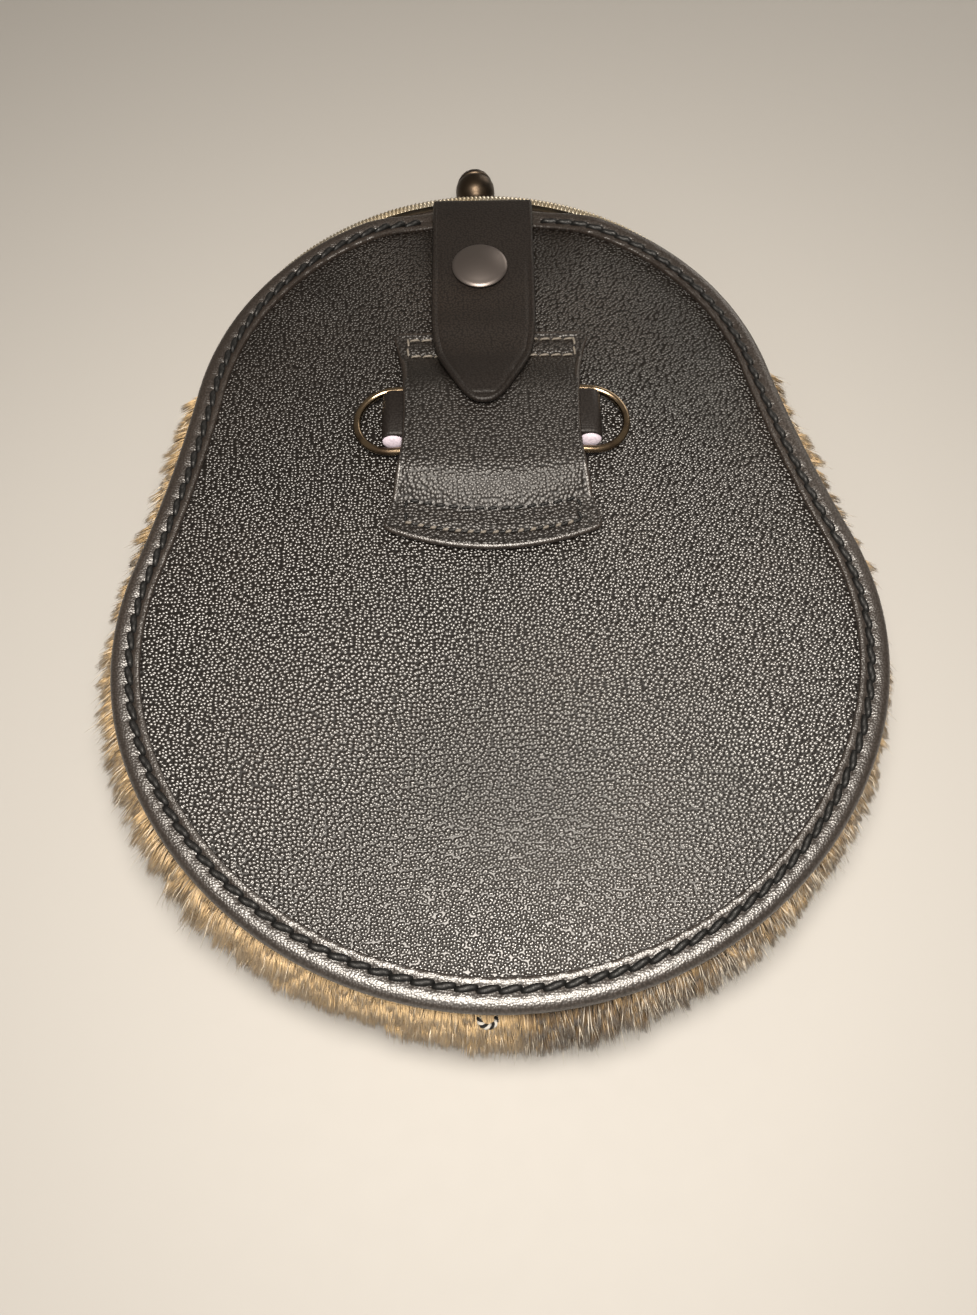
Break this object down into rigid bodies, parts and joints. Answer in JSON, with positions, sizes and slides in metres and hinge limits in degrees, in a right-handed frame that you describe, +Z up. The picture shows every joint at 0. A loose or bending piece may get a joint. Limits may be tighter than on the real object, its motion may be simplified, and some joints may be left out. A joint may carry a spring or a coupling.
{
  "type": "sporran pouch",
  "caption": "Dress sporran purse lying on its furred front: leather back with belt loop, chain rings and a snapped closing tab, under a metal gallery with a knob.",
  "frame": {"origin": "on the table, under the middle of the object's bounding box", "axes": "+Z up from the table, out of the leather back; +Y towards the top of the pouch as it is worn; +X to the right seen from behind"},
  "size_m": [0.1942, 0.2544, 0.0432],
  "materials": {
    "grained_leather": "pebbled, satin black",
    "smooth_leather": "smooth, satin black",
    "fur": "tan hair-on hide",
    "plated_metal": "worn silvery plate",
    "dark_nickel": "dark, polished",
    "ring_metal": "bronze-coloured wire, polished"
  },
  "bodies": {
    "pouch": {"back_panel": "grained_leather", "edge_binding": "smooth_leather", "fur_front": "fur", "cantle": "plated_metal", "knob": "plated_metal", "belt_loop": "grained_leather", "ring_strap": "smooth_leather", "closing_tab": "smooth_leather", "snap_cap": "dark_nickel"},
    "left_ring": {"d_ring_left": "ring_metal"},
    "right_ring": {"d_ring_right": "ring_metal"}
  },
  "joints": [
    {"name": "left_ring_swing", "type": "hinge", "parent": "pouch", "child": "left_ring", "pos_m": [-0.01862, 0.02188, 0.0367], "axis": [0.0436, 0.999, 0], "range_deg": [0, 32]},
    {"name": "right_ring_swing", "type": "hinge", "parent": "pouch", "child": "right_ring", "pos_m": [0.02134, 0.02014, 0.0367], "axis": [-0.0436, -0.999, 0], "range_deg": [0, 32]}
  ]
}
